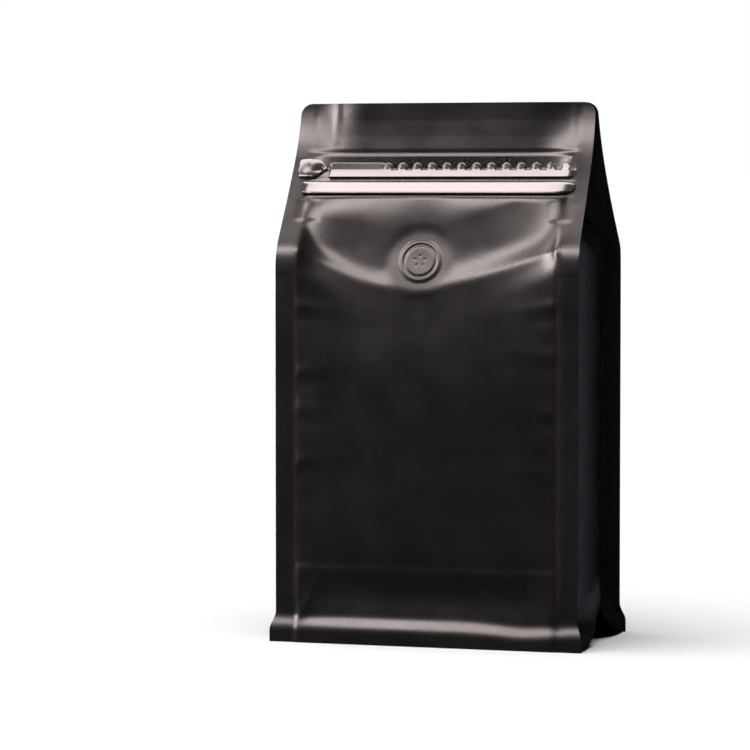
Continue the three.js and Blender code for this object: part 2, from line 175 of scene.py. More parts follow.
# Grooves pressed in along the strip: height and relief.
STRIP_RELIEF = in_mm(
    (193.6, 0), (194.7, -0.30), (195.6, 0), (200.4, 0), (201.3, -0.40), (202.2, 0),
    (212, 0), (212.8, -0.50), (213.6, 0))
STRIP_RELIEF_ENDS = 61.5 * MM
# Streaks up the header: place, rise and width.
STREAKS = in_mm((-49.5, 0.32, 1.3), (58.6, 0.25, 1.0))
STREAK_START = (214 * MM, 219 * MM)
TACK_SEALS = in_mm((-56.7, 188), (57, 187.5))
TACK_HALF_WIDTH = 6.3 * MM
TACK_HALF_HEIGHT = 5.2 * MM
TACK_DEPTH = 0.25 * MM
TACK_EDGE = 1.6 * MM

# ---- mesh divisions
COLUMNS = 112
SEAL_COLUMNS = 6
COLUMN_FACTORS = (2, 56)
LEVELS = 200
LEVEL_FACTORS = (2, 100)
LEVEL_SHARES = (0.0, 0.075, 0.16, 0.42, 1.0)
LEVEL_HEIGHTS = (0.0, 13 * MM, 36 * MM, 138 * MM, 235 * MM)
ROWS = 64
ROW_FACTORS = (64,)
STRIP_ROWS = 5
RUNS_ALONG = 0.9  # least share of an edge that runs along an axis
SMOOTH_ANGLE = math.radians(38)


# ---- colours
def colour(hex_code):
    """An sRGB hex colour as linear red, green, blue and alpha."""
    channels = [int(hex_code[place:place + 2], 16) / 255 for place in (1, 3, 5)]
    linear = [c / 12.92 if c <= 0.04045 else ((c + 0.055) / 1.055) ** 2.4 for c in channels]
    return (*linear, 1.0)


# ---- settings
def length(name, description, default):
    return FloatProperty(name=name, description=description, unit="LENGTH", default=default)


def shade(name, description, hex_code):
    return FloatVectorProperty(
        name=name, description=description, subtype="COLOR", size=4, min=0.0, max=1.0,
        default=colour(hex_code))


class BodySettings(bpy.types.PropertyGroup):
    height: length("Height", "Standing height", POUCH_HIGH.z)
    lip_width: length(
        "Lip width", "Width over the bottom seal lips", POUCH_HIGH.x - POUCH_LOW.x)
    panel_width: length("Panel width", "Front panel over both side seals", 135.6 * MM)
    top_width: length("Top width", "Front panel at its top edge", 133.6 * MM)
    body_depth: length("Body depth", "Filled body, front to back", 76 * MM)
    top_depth: length("Top depth", "The panels pressed together at the top", 3.6 * MM)
    shoulder: length("Shoulder", "Height at which the filled body ends", 171.5 * MM)
    side_seal: length("Side seal", "Width of the seal strip down each edge", 7.6 * MM)
    gusset_bulge: length("Gusset bulge", "How far the gusset swells out", 7.5 * MM)
    notch_height: length("Notch height", "V notch under each gusset", 17 * MM)
    ridge_drop: length(
        "Ridge drop", "Dip of the filled body's top edge in the middle", 17 * MM)
    pucker_depth: length("Pucker depth", "Height of the puckers beside the seals", 0.6 * MM)
    film_colour: shade("Film colour", "Black film", "#141212")
    # painted highlight: a lighter brownish line painted along the pressed seal lines
    seal_highlight_colour: shade("Seal line colour", "Browned line along the side seals", "#2a201a")


class ClosureSettings(bpy.types.PropertyGroup):
    track_rise: length("Ridge rise", "Height of the closing ridge", 1.7 * MM)
    tooth_pitch: length("Tooth pitch", "Distance between the embossed teeth", 6.7 * MM)
    tooth_width: length("Tooth width", "Width of one tooth", 4 * MM)
    strip_rise: length("Strip rise", "How far the strip and its teeth stand proud", 1.3 * MM)
    tab_thick: length("Tab thickness", "Thickness of the pull tab", 1.1 * MM)
    film_colour: shade("Strip colour", "Glossy black film of the strip", "#242324")


class ValveSettings(bpy.types.PropertyGroup):
    radius: length("Radius", "Outer radius of the valve's flange", 10.2 * MM)
    rise: length("Rise", "Height of the valve's rim", 0.3 * MM)
    pin_holes: IntProperty(
        name="Pin holes", description="Vent holes in the disc", default=5, min=0, max=7)


class StageSettings(bpy.types.PropertyGroup):
    floor_colour: shade("Floor", "Pale studio floor", "#f2f2f2")
    overhead: FloatProperty(
        name="Overhead", description="Power of the wash over the floor", default=3.9, min=0.0)
    softbox: FloatProperty(
        name="Softbox", description="Brightness of the softboxes that the film mirrors",
        default=6.5, min=0.0)


# ---- shape functions
def unit(value):
    return np.clip(value, 0.0, 1.0)


def ramp(value, start, end):
    """Rises smoothly from 0 at the start to 1 at the end."""
    share = unit((value - start) / (end - start))
    return share * share * (3.0 - 2.0 * share)


def mix(first, second, share):
    return first + (second - first) * share


def soft_max(first, second, softness):
    return 0.5 * (first + second + np.sqrt((first - second) ** 2 + softness ** 2))


def bell(distance, width):
    return np.exp(-(distance / width) ** 2)


def profile(z, points, blur):
    """A profile through points of height and half depth, with its bends rounded."""
    heights, depths = zip(*points)
    samples = [np.interp(z + blur * step, heights, depths) for step in (-1.0, -0.5, 0.0, 0.5, 1.0)]
    return sum(samples) / len(samples)


class PouchForm:
    """The pouch's outer surface, worked out from the body settings."""

    def __init__(self, body):
        for name in ("height", "panel_width", "top_width", "shoulder", "side_seal",
                     "gusset_bulge", "notch_height", "ridge_drop", "pucker_depth"):
            setattr(self, name, getattr(body, name))
        self.lip_half = body.lip_width / 2
        self.body_half = body.body_depth / 2
        self.top_half = body.top_depth / 2
        self.panel_half = body.top_width / 2 - body.side_seal
        self.gusset_half_length = math.hypot(self.body_half, body.gusset_bulge)

    def rise(self, z):
        """How far a height lies between the shoulder and the top edge, from 0 to 1."""
        share = (z - self.shoulder) / (self.height - self.shoulder)
        rounded = 0.5 * (share + np.sqrt(share ** 2 + SHOULDER_ROUND ** 2))
        return unit(rounded)

    def half_width(self, z):
        panel = mix(self.panel_width, self.top_width, self.rise(z)) / 2
        lip = (self.lip_half - panel) * (1 - ramp(z, LIP_HEIGHT, LIP_END_Z))
        into_corner = np.clip(z - (self.height - TOP_CORNER), 0.0, TOP_CORNER)
        corner = TOP_CORNER - np.sqrt(TOP_CORNER ** 2 - into_corner ** 2)
        return panel + lip - corner

    def edge_half_depth(self, z):
        """Half depth at the panel edges: straight, then a wedge."""
        wedge = (self.body_half - self.top_half) * (1 - self.rise(z)) ** TAPER_POWER
        return self.top_half + wedge + LIP_FLARE * (1 - ramp(z, LIP_HEIGHT, LIP_END_Z))

    def mid_plane(self, z):
        return -TOP_LEAN * self.rise(z)

    def across(self, x, power):
        """0 at the panel's edges and 1 in its middle; a high power keeps more of it at 1."""
        return unit(1 - np.abs(x / self.panel_half) ** power)

    def drop(self, x, lowest_x):
        """How far the filled body's top edge lies below the shoulder at this x."""
        reach = np.where(x < lowest_x, lowest_x + self.panel_half, self.panel_half - lowest_x)
        away = np.hypot(x - lowest_x, RIDGE_ROUND) - RIDGE_ROUND
        whole = np.hypot(reach, RIDGE_ROUND) - RIDGE_ROUND
        share = unit(1 - away / whole)
        sagging = np.where(x < lowest_x, RIDGE_SAG[0], RIDGE_SAG[1])
        return self.ridge_drop * mix(share, np.sin(0.5 * np.pi * share), sagging)

    def crown(self, x, z, lowest_x):
        ridge = self.shoulder - self.drop(x, lowest_x)
        up = ramp(z, LIP_END_Z, BASE_BLEND) * (1 - ramp(z, ridge - BASE_BLEND, ridge))
        return PANEL_CROWN * self.across(x, 2) * up

    def front_edge(self, z):
        """Half depth of the front along the side seals."""
        shoulder = profile(z, EDGE_PROFILE, EDGE_BLUR)
        return np.where(z > EDGE_PROFILE[0][0], shoulder, self.edge_half_depth(z))

    def header_bow(self, x):
        (left_out, left_in), (right_in, right_out) = HEADER_BOW
        return ramp(x, left_out, left_in) * (1 - ramp(x, right_in, right_out))

    def follow(self, x, z):
        """How far everything behind the header's front film comes forward with it."""
        bow = (MIDDLE_PROFILE[-1][1] - self.top_half) * self.header_bow(x)
        return bow * ramp(z, BOW_FOOT_Z, self.height)

    def drape(self, above_ridge, z, x):
        """How far the film has gone back over the ridge: ledge, upright stretch and lean."""
        middle = self.across(x, SIDE_POWER)
        rightward = ramp(x, -LEFT_TO_RIGHT, LEFT_TO_RIGHT)
        near_valve = bell(x - VALVE_X, VALVE_PULL)
        reach = mix(mix(*LEDGE_REACH, rightward), VALVE_LEDGE[0], near_valve)
        soft = mix(mix(*LEDGE_SOFT, rightward), VALVE_LEDGE[1], near_valve)
        ledge_slope = mix(mix(*LEDGE_SLOPE, middle), VALVE_LEDGE_SLOPE, near_valve)
        at_ridge = np.log1p(np.exp(reach / soft))
        here = np.log1p(np.exp((reach - above_ridge) / soft))
        ledge = ledge_slope * soft * (at_ridge - here)
        slope = mix(*DRAPE_SLOPE, middle) * above_ridge
        aside = x - RIDGE_X
        foot = HEAD_FOOT_Z + np.where(aside < 0, -HEAD_FOOT_RISE[0], HEAD_FOOT_RISE[1]) * aside
        foot = np.minimum(foot, FLAP_Z - HEAD_LEAST)
        head = np.maximum(0.0, z - foot) ** 2 / (2 * (FLAP_Z - foot))
        return ledge + slope + mix(*HEAD_SLOPE, middle) * head

    def flap_half_depth(self, x, z):
        """The front above the flap's foot: the slope, the riser and the header."""
        flap_z = np.maximum(z, FLAP_Z)
        in_header = ramp(z, HEADER_FOOT_Z - HEADER_BLEND, HEADER_FOOT_Z)
        middle = mix(self.across(x, SIDE_POWER), self.header_bow(x), in_header)
        return mix(self.front_edge(flap_z), profile(flap_z, MIDDLE_PROFILE, MIDDLE_BLUR), middle)

    def front_half_depth(self, x, z):
        ridge = self.shoulder - self.drop(x, RIDGE_X)
        above = soft_max(z - ridge, 0.0, RIDGE_SOFT)
        lean = unit(1 + (np.minimum(z, ridge) - ridge) / RECESS_HEIGHT) ** 2
        middle = self.across(x, SIDE_POWER)
        recess = mix(*RIDGE_RECESS, bell(x - VALVE_X, RIDGE_RECESS_SPREAD))
        wide = ramp(z, ridge - RECESS_SPREADS, ridge)
        sideways = mix(self.across(x, RECESS_POWER), middle, wide)
        panel = self.body_half - recess * sideways * lean
        foot_of_flap = mix(FLAP_EDGE, MIDDLE_PROFILE[0][1], middle)
        gone = self.drape(above, z, x) / self.drape(FLAP_Z - ridge, FLAP_Z, x)
        body = panel - (panel - foot_of_flap) * gone + self.crown(x, z, RIDGE_X)
        inside, outside = ON_SEAL
        on_seal = ramp(np.abs(x), self.panel_half + inside, self.panel_half + outside)
        body = mix(body, self.front_edge(z), on_seal)
        free = np.where(z > FLAP_Z, self.flap_half_depth(x, z), body)
        place, spread, sag = LIP_SAG
        lip = self.edge_half_depth(z + sag * bell(x - place, spread))
        free = mix(lip, free, ramp(z, LIP_END_Z, BASE_BLEND))
        from_valve = np.hypot(x - VALVE_X, z - VALVE_Z)
        flat = VALVE_DEPTH + VALVE_SLOPE * (VALVE_Z - z)
        return mix(flat, free, ramp(from_valve, VALVE_FLAT, VALVE_FADE))

    def back_half_depth(self, x, z):
        dip = np.where(z < LIP_END_Z, 0.0, self.drop(x, 0.0) * (1 - self.rise(z)))
        return self.edge_half_depth(z + dip) + self.crown(x, z, 0.0) - self.follow(x, z)

    def puckers(self, x, z, heights, side):
        from_seal = self.panel_half - side * x
        relief = np.zeros_like(x)
        lower, share = PUCKER_TROUGH
        for number, height in enumerate(heights):
            lean = PUCKER_LEAN * from_seal * (1 if number % 2 else -1)
            crest = bell(z - height - lean, PUCKER_WIDTH)
            trough = bell(z - height - lean + lower * PUCKER_WIDTH, PUCKER_WIDTH)
            reach = np.exp(-np.clip(from_seal, 0.0, None) / PUCKER_LENGTH)
            relief += self.pucker_depth * (crest - share * trough) * reach
        return relief * ramp(from_seal, *RELIEF_EDGE)

    def front_relief(self, x, z):
        """What the film adds to the plain front: puckers, lines, folds and tack seals."""
        relief = self.puckers(x, z, LEFT_PUCKERS, -1) + self.puckers(x, z, RIGHT_PUCKERS, 1)
        relief += self.bottom_step(x, z)
        height, spread, depth = FOOT_WAIST
        waist = depth * bell(z - height, spread) * self.across(x, WAIST_POWER)
        relief -= waist * ramp(z, 0.0, WAIST_START)
        for x1, z1, x2, z2, rise, width in CORNER_CREASES:
            run = math.hypot(x2 - x1, z2 - z1)
            along = ((x - x1) * (x2 - x1) + (z - z1) * (z2 - z1)) / run
            off = ((x - x1) * (z2 - z1) - (z - z1) * (x2 - x1)) / run
            fade = CREASE_FADE * run
            ends = ramp(along, 0.0, fade) * ramp(run - along, 0.0, fade)
            relief += rise * bell(off, width) * ends
        relief -= SEAL_LINE_DEPTH * self.seal_line(x, z)
        heights, prouds = zip(*STRIP_RELIEF)
        ends = ramp(STRIP_RELIEF_ENDS - np.abs(x), *RELIEF_EDGE)
        relief += np.interp(z, heights, prouds) * ends
        for place, rise, width in STREAKS:
            up = ramp(z, *STREAK_START)
            relief += rise * bell(x - place, width) * up
        for place_x, place_z in TACK_SEALS:
            patch = ramp(TACK_HALF_WIDTH - np.abs(x - place_x), 0.0, TACK_EDGE)
            patch = patch * ramp(TACK_HALF_HEIGHT - np.abs(z - place_z), 0.0, TACK_EDGE)
            relief -= TACK_DEPTH * patch
        return relief

    def bottom_step(self, x, z):
        """The film steps back a little where the folded bottom ends."""
        half = BOTTOM_LINE_WIDTH / 2
        below = 1 - ramp(z, BOTTOM_LINE_Z - half, BOTTOM_LINE_Z + half)
        inside = ramp(self.panel_half - np.abs(x), 0.0, BOTTOM_LINE_EDGE)
        return BOTTOM_LINE_STEP * below * inside

    def seal_line(self, x, z):
        """The pressed line along the inner edge of a side seal, from 0 to 1."""
        on_line = bell(np.abs(x) - self.panel_half, SEAL_LINE_WIDTH)
        below_end = 1 - ramp(z, *SEAL_LINE_ENDS)
        return on_line * ramp(z, LIP_END_Z, FOOT_BLEND) * below_end

    def front_y(self, x, z):
        return self.mid_plane(z) - self.front_half_depth(x, z) - self.front_relief(x, z)

    def back_y(self, x, z):
        relief = self.bottom_step(x, z) - SEAL_LINE_DEPTH * self.seal_line(x, z)
        return self.mid_plane(z) + self.back_half_depth(x, z) + relief

    def notch(self, across):
        return self.notch_height * (1 - np.abs(across)) ** 2

    def seal_root(self, z):
        clear_of_foot = ramp(z, 0.0, FOOT_BLEND)
        seal_width = mix(FOOT_SEAL, self.side_seal, clear_of_foot)
        return self.half_width(np.minimum(z, self.height - TOP_CORNER)) - seal_width

    def gusset_reach(self, across, z):
        """Reach of a gusset along X. across runs from -1 at the front seal to 1 at the back."""
        clear_of_foot = ramp(z, 0.0, FOOT_BLEND)
        seal = self.seal_root(z)
        roof = 1 - np.hypot(across, GUSSET_ROUND) ** GUSSET_POWER
        swollen = seal + self.gusset_bulge * clear_of_foot * roof
        depth = self.edge_half_depth(z)
        fold_depth = np.sqrt(np.maximum(0.0, self.gusset_half_length ** 2 - depth ** 2))
        folded = seal - fold_depth * (1 - np.abs(across))
        fold_line = FOLD_Z + FOLD_RISE * np.abs(across)
        above_notch = z - self.notch(across)
        flare = NOTCH_FLARE * (1 - np.abs(across)) * (1 - ramp(above_notch, 0.0, NOTCH_BLEND))
        between_seals = ramp(1 - np.abs(across), 0.0, FOLD_SHARP)
        above_fold = soft_max(z - fold_line, 0.0, FOLD_CREST * between_seals + FOLD_LEAST)
        falling = swollen - FOLD_SLOPE * above_fold
        return soft_max(folded, falling, FOLD_ROUND * between_seals + FOLD_LEAST) + flare

    def seal_inside(self, across, z):
        """Half depth of a seal strip's inner face, at the front or the back."""
        thick = mix(LIP_THICK, SEAL_THICK, ramp(z, 0.0, LIP_END_Z))
        return np.where(across < 0, self.front_edge(z), self.edge_half_depth(z)) - thick

    def side_y(self, across, z):
        """Place of a gusset point along Y, before it follows the bowed top."""
        inset = FOOT_INSET * (1 - ramp(z, 0.0, FOOT_BLEND))
        return self.mid_plane(z) + across * (self.seal_inside(across, z) - inset)


# ---- mesh tools
def set_mode(mode):
    bpy.ops.object.mode_set(mode=mode)


def deselect_all():
    if bpy.context.mode != "OBJECT":
        set_mode("OBJECT")
    bpy.ops.object.select_all(action="DESELECT")


def just_added(name):
    """The object that was just added, named with its data."""
    added = bpy.context.active_object
    added.name = name
    added.data.name = name
    return added


def add_blank(name, low, high):
    """A box between two corners, the blank that a piece is shaped from."""
    deselect_all()
    low, high = Vector(low), Vector(high)
    bpy.ops.mesh.primitive_cube_add(size=1.0, location=(low + high) / 2, scale=high - low)
    piece = just_added(name)
    bpy.ops.object.transform_apply(location=True, rotation=True, scale=True)
    return piece


def select_edges(piece, wanted):
    """Selects, in edit mode, the edges that pass a test."""
    bpy.ops.mesh.select_mode(type="EDGE")
    bpy.ops.mesh.select_all(action="DESELECT")
    mesh = bmesh.from_edit_mesh(piece.data)
    for edge in mesh.edges:
        edge.select_set(wanted(edge))
    bmesh.update_edit_mesh(piece.data)


def cut_along(piece, axis, factors):
    """Cuts every edge that runs along an axis into equal parts, factor by factor."""
    def runs_along(edge):
        run = edge.verts[1].co - edge.verts[0].co
        return abs(run[axis]) > RUNS_ALONG * run.length

    set_mode("EDIT")
    for factor in factors:
        select_edges(piece, runs_along)
        bpy.ops.mesh.subdivide(number_cuts=factor - 1)
    set_mode("OBJECT")


def cut_blank(name, low, high, column_factors, level_factors):
    """A blank that is cut into columns and levels."""
    piece = add_blank(name, low, high)
    cut_along(piece, 0, column_factors)
    cut_along(piece, 2, level_factors)
    return piece


def points_of(piece):
    points = np.empty(len(piece.data.vertices) * 3)
    piece.data.vertices.foreach_get("co", points)
    return points.reshape(-1, 3)


def set_points(piece, points):
    piece.data.vertices.foreach_set("co", points.ravel())
    piece.data.update()


def grid_places(points, counts):
    """Column, row and level of every point of an evenly cut box."""
    low, high = points.min(0), points.max(0)
    return np.rint((points - low) / (high - low) * counts).astype(int).T


def finish_piece(piece, material, node):
    """Smooths a piece, gives it its material and puts it in the node's place."""
    piece.data.materials.clear()
    piece.data.materials.append(material)
    deselect_all()
    piece.select_set(True)
    bpy.context.view_layer.objects.active = piece
    bpy.ops.object.shade_smooth_by_angle(angle=SMOOTH_ANGLE)
    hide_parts(node)
    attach(piece, "root")


# ---- materials
def add_node(tree, kind, settings=None, links=None):
    """Adds a shader node. A setting is an option or an input's value, and links maps an
    input to the output that feeds it."""
    node = tree.nodes.new("ShaderNode" + kind)
    for name, value in (settings or {}).items():
        if isinstance(name, str) and hasattr(node, name):
            setattr(node, name, value)
        else:
            node.inputs[name].default_value = value
    for name, output in (links or {}).items():
        tree.links.new(output, node.inputs[name])
    return node


MIX_FACTOR, MIX_FIRST, MIX_SECOND, MIX_COLOUR = 0, 6, 7, 2


def new_material(name):
    material = bpy.data.materials.new(name)
    material.use_nodes = True
    material.node_tree.nodes.clear()
    return material


CLOUD_SIZE = 18 * MM  # broad patches where the matt coat is a little thicker
WAVE_SIZE = 11 * MM  # slack waves in the stiff film
WAVE_DEPTH = 0.2 * MM
WAVE_STRENGTH = 0.25
GRAIN_SIZE = 1.4 * MM  # coarser than the real 0.01 mm, which can't show
GRAIN_STRENGTH = 0.2
CLOUD_RANGE = (0.3, 0.7)  # most of their noise lies between these
CLOUD_TONE = 1.35  # the broad patches are up to this much lighter
CLOUD_ROUGHNESS = (-0.03, 0.04)  # and this much shinier or duller
MATT = (0.27, 0.02 * MM)  # roughness and depth of the grain of the matt film
GLOSSY_GRAIN = 0.004 * MM


def satin_film(name, base, line, roughness, grain_depth, gloss=0.5):
    """Matt black film laminated over foil. The matt coat spreads highlights into broad soft bands,
    and a lighter brownish line along the pressed seal lines is a painted highlight."""
    material = new_material(name)
    tree = material.node_tree
    place = add_node(tree, "TexCoord").outputs["Object"]
    cloud, wave, grain = (
        add_node(tree, "TexNoise", {"Scale": 1 / size, "Detail": detail}, {"Vector": place})
        for size, detail in ((CLOUD_SIZE, 3.0), (WAVE_SIZE, 2.0), (GRAIN_SIZE, 1.0)))
    seal = add_node(tree, "Attribute", {"attribute_name": "seal_line"})
    lighter = tuple(min(1.0, CLOUD_TONE * c) for c in base[:3]) + (1.0,)
    tone = add_node(tree, "Mix", {
        "data_type": "RGBA", MIX_FIRST: base, MIX_SECOND: lighter,
    }, {MIX_FACTOR: cloud.outputs["Fac"]})
    # painted highlight: the seal line mask mixes the lighter seal line colour into the film
    painted_seal_highlight = add_node(tree, "Mix", {
        "data_type": "RGBA", MIX_SECOND: line,
    }, {MIX_FACTOR: seal.outputs["Fac"], MIX_FIRST: tone.outputs[MIX_COLOUR]})
    rough = add_node(tree, "MapRange", {
        "From Min": CLOUD_RANGE[0], "From Max": CLOUD_RANGE[1],
        "To Min": roughness + CLOUD_ROUGHNESS[0], "To Max": roughness + CLOUD_ROUGHNESS[1],
    }, {"Value": cloud.outputs["Fac"]})
    fine = add_node(tree, "Bump", {"Strength": GRAIN_STRENGTH, "Distance": grain_depth},
                    {"Height": grain.outputs["Fac"]})
    soft = add_node(tree, "Bump", {"Strength": WAVE_STRENGTH, "Distance": WAVE_DEPTH},
                    {"Height": wave.outputs["Fac"], "Normal": fine.outputs["Normal"]})
    shader = add_node(tree, "BsdfPrincipled", {
        "Metallic": 0.0, "IOR": 1.5, "Specular IOR Level": gloss,
    }, {"Base Color": painted_seal_highlight.outputs[MIX_COLOUR], "Roughness": rough.outputs["Result"],
        "Normal": soft.outputs["Normal"]})
    add_node(tree, "OutputMaterial", links={"Surface": shader.outputs["BSDF"]})
    return material


def closure_film(name, closure, roughness, gloss):
    """The glossy film of the closure, without the painted highlight along the seal lines."""
    black = closure.film_colour
    return satin_film(name, black, black, roughness, GLOSSY_GRAIN, gloss)


# ---- pouch of film
def from_edge(place, count):
    return np.minimum(place, count - place)


def column_x(form, column, z):
    side = np.where(column * 2 < COLUMNS, -1.0, 1.0)
    edge = from_edge(column, COLUMNS)
    inner = form.half_width(np.minimum(z, form.height - TOP_CORNER)) - form.side_seal
    on_seal = side * mix(form.half_width(z), inner, edge / SEAL_COLUMNS)
    share = (column - SEAL_COLUMNS) / (COLUMNS - 2 * SEAL_COLUMNS)
    return np.where(edge < SEAL_COLUMNS, on_seal, mix(-inner, inner, share))


def row_across(row):
    """Place across the gusset, from -1 to 1."""
    first = STRIP_ROWS + 1
    return unit((row - first) / (ROWS - 2 * first)) * 2 - 1


def side_points(form, row, z, side):
    """Reach and depth of the points on a side: the back of a seal strip, then the gusset."""
    across = row_across(row)
    edge = from_edge(row, ROWS)
    on_strip = edge <= STRIP_ROWS
    along_strip = unit((edge - 1) / STRIP_ROWS)
    strip_reach = mix(form.half_width(z), form.seal_root(z), along_strip)
    strip_y = form.mid_plane(z) + across * form.seal_inside(across, z)
    reach = np.where(on_strip, strip_reach, form.gusset_reach(across, z))
    depth = np.where(on_strip, strip_y, form.side_y(across, z))
    return reach, depth - form.follow(side * reach, z)


def base_points(form, column, row):
    """The underside: the lips' inner faces and the bottom panel between the notches."""
    ground = np.zeros(len(column))
    across = row_across(row)
    sideways = column_x(form, column, ground) / form.half_width(ground)
    side = np.sign(sideways)
    edge = from_edge(column, COLUMNS)
    reach, depth = side_points(form, row, ground, side)
    along_lip = unit((from_edge(row, ROWS) - 1) / STRIP_ROWS)
    spread_z = LIP_INSIDE * along_lip * (1 - np.abs(sideways) ** LIP_INSIDE_POWER)
    notch = form.notch(across)
    up_fin = unit((edge - 1) / (SEAL_COLUMNS - 1))
    fin_z = notch + NOTCH_FIN * up_fin
    fin_reach = form.gusset_reach(across, fin_z) - NOTCH_FIN_THICK
    inner_share = unit((column - SEAL_COLUMNS) / (COLUMNS - 2 * SEAL_COLUMNS)) * 2 - 1
    middle = mix(BASE_SAG, LIP_INSIDE, np.abs(across) ** BASE_POWERS[0])
    panel_z = mix(middle, notch + NOTCH_FIN, inner_share ** BASE_POWERS[1])
    on_fin = edge <= SEAL_COLUMNS
    fin_x = np.where(on_fin, side * fin_reach, inner_share * fin_reach)
    fin_z = np.where(on_fin, fin_z, panel_z)
    away_from_lip = ramp(1 - np.abs(across), 0.0, BASE_EDGE)
    x = mix(sideways * reach, fin_x, away_from_lip)
    z = mix(spread_z, fin_z, away_from_lip)
    y = mix(depth, form.side_y(across, fin_z), away_from_lip)
    return np.stack([x, y, z], axis=1)


def mouth_points(form, column, row):
    """The top edge: two films with a slit between them."""
    top = np.full(len(column), form.height)
    sideways = column_x(form, column, top) / form.half_width(top)
    reach, _ = side_points(form, row, top, np.sign(sideways))
    first = STRIP_ROWS + 1
    edge = from_edge(row, ROWS)
    inner = (form.top_half - SEAL_THICK) / form.top_half
    film = 1 - (1 - inner) * edge / first
    depth = np.where(edge < first, film, np.abs(row_across(row)) * inner)
    depth = depth * np.where(row * 2 < ROWS, -1, 1)
    x = sideways * reach
    y = mix(form.front_y(x, top), form.back_y(x, top), (depth + 1) / 2)
    slit = ramp(inner - np.abs(depth), 0.0, MOUTH_EDGE) * (1 - sideways ** MOUTH_POWER)
    return np.stack([x, y, top - MOUTH_DEPTH * slit], axis=1)


def shape_pouch(piece, form):
    """Moves every point of the cut box to its place on the filled pouch."""
    points = points_of(piece)
    column, row, level = grid_places(points, (COLUMNS, ROWS, LEVELS))
    nominal = np.interp(level / LEVELS, LEVEL_SHARES, LEVEL_HEIGHTS)
    nominal = np.minimum(nominal, form.height)
    is_panel = (row == 0) | (row == ROWS)
    foot = np.where(is_panel, 0.0, form.notch(row_across(row)))
    higher = np.maximum(nominal, MM)
    shrink = np.where(nominal < BASE_BLEND, 1 - foot / BASE_BLEND, 1 - foot / higher)
    z = foot + nominal * shrink
    x = column_x(form, column, z)
    front = front_points(form, x, z)
    back = np.stack([x, form.back_y(x, z), z], axis=1)
    which = np.where(column == 0, -1, 1)
    reach, depth = side_points(form, row, z, which)
    side = np.stack([which * reach, depth, z], axis=1)
    is_side = (column == 0) | (column == COLUMNS)
    shaped = np.where((row == 0)[:, None], front, np.where((row == ROWS)[:, None], back, side))
    inner = ~is_panel & ~is_side
    on_base = inner & (level == 0)
    on_top = inner & (level == LEVELS)
    shaped[on_base] = base_points(form, column[on_base], row[on_base])
    shaped[on_top] = mouth_points(form, column[on_top], row[on_top])
    set_points(piece, shaped)
    # the seal line mask carries the painted highlight along the seal lines into the film's colour
    seal = np.where(is_panel, form.seal_line(shaped[:, 0], shaped[:, 2]), 0.0)
    line = piece.data.attributes.new("seal_line", "FLOAT", "POINT")
    line.data.foreach_set("value", seal.astype(np.float32))


class TEAPOUCH_OT_film(bpy.types.Operator):
    """Builds the filled pouch of black film"""
    bl_idname = "tea_pouch.film"
    bl_label = "Film pouch"

    def execute(self, context):
        body = context.scene.tea_pouch_body
        form = PouchForm(body)
        piece = cut_blank("film_pouch", POUCH_LOW, POUCH_HIGH, COLUMN_FACTORS, LEVEL_FACTORS)
        cut_along(piece, 1, ROW_FACTORS)
        shape_pouch(piece, form)
        # the seal line colour passed here is a painted highlight along the seal lines
        film = satin_film("matt_black_laminate", body.film_colour, body.seal_highlight_colour, *MATT)
        finish_piece(piece, film, "pouch")
        return {"FINISHED"}


# ---- pieces laid on
NORMAL_SPAN = 1.5 * MM  # normals are taken over this far each way
SINK = 0.25 * MM  # of a laid piece's back under the film


def front_points(form, x, z):
    return np.stack([x, form.front_y(x, z), z], axis=1)


def front_normals(form, x, z):
    along_x = front_points(form, x + NORMAL_SPAN, z) - front_points(form, x - NORMAL_SPAN, z)
    along_z = front_points(form, x, z + NORMAL_SPAN) - front_points(form, x, z - NORMAL_SPAN)
    normals = np.cross(along_x, along_z)
    return normals / np.linalg.norm(normals, axis=1)[:, None]


def lay_on_front(piece, form, proud, outline=None):
    """Bends a flat box onto the front. proud gives its height over the film, and outline
    may move a point sideways or up first."""
    points = points_of(piece)
    is_outer = points[:, 1] < points[:, 1].mean()
    x, z = points[:, 0], points[:, 2]
    if outline:
        x, z = outline(x, z)
    places = front_points(form, x, z)
    places[:, 1] -= np.where(is_outer, proud(x, z), -SINK)
    set_points(piece, places)


TRACK_HALF = 61.8 * MM
TRACK_FOOT = 194.8 * MM
TRACK_HEAD = 200.6 * MM
TRACK_END = 1 * MM  # the left end is rounded over this
TRACK_POINT = 9 * MM  # the right end runs out to a point over this
TRACK_NARROWEST = 0.3  # both get this narrow
TRACK_POWER = 8  # of its full section
TRACK_SINK = 0.02 * MM  # its edges lie this far under the film
TRACK_FACTORS = ((2, 60), (18,))


